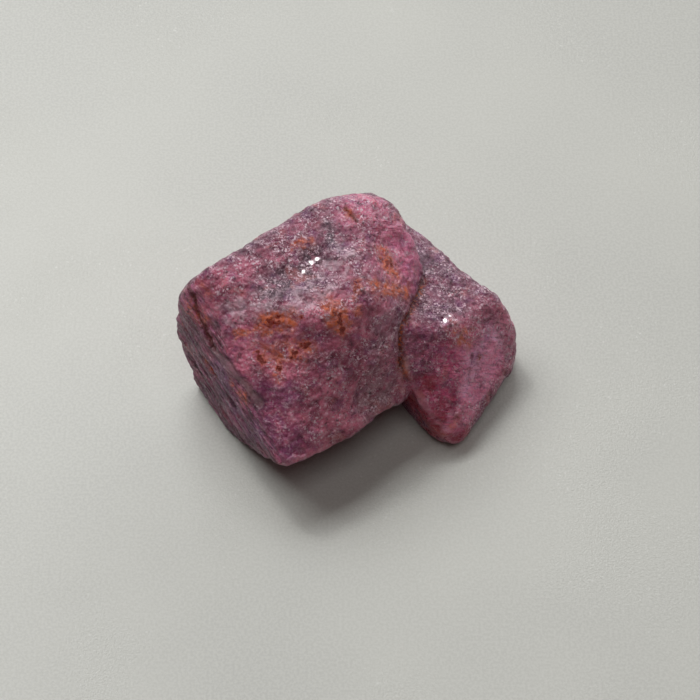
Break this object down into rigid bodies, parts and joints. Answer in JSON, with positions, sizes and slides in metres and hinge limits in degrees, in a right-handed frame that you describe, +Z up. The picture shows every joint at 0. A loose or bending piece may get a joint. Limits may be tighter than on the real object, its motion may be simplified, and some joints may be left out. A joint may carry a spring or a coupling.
{
  "type": "raw ruby crystal",
  "caption": "Rough ruby: a stout worn crystal prism lying on its side, with a smaller wedge-shaped crystal grown into one end.",
  "frame": {"origin": "middle of the bounding box, at the height of the flat face that it rests on", "axes": "+X to the right along the longest extent, toward the smaller crystal; +Z up from the rest face; the front, as pictured, is -Y"},
  "size_m": [0.0256, 0.0214, 0.014],
  "materials": {
    "ruby": "rough, slightly waxy natural crystal faces, purple-pink and barely translucent, with rust stains"
  },
  "bodies": {
    "root": {"ruby_crystal": "ruby"}
  },
  "joints": []
}
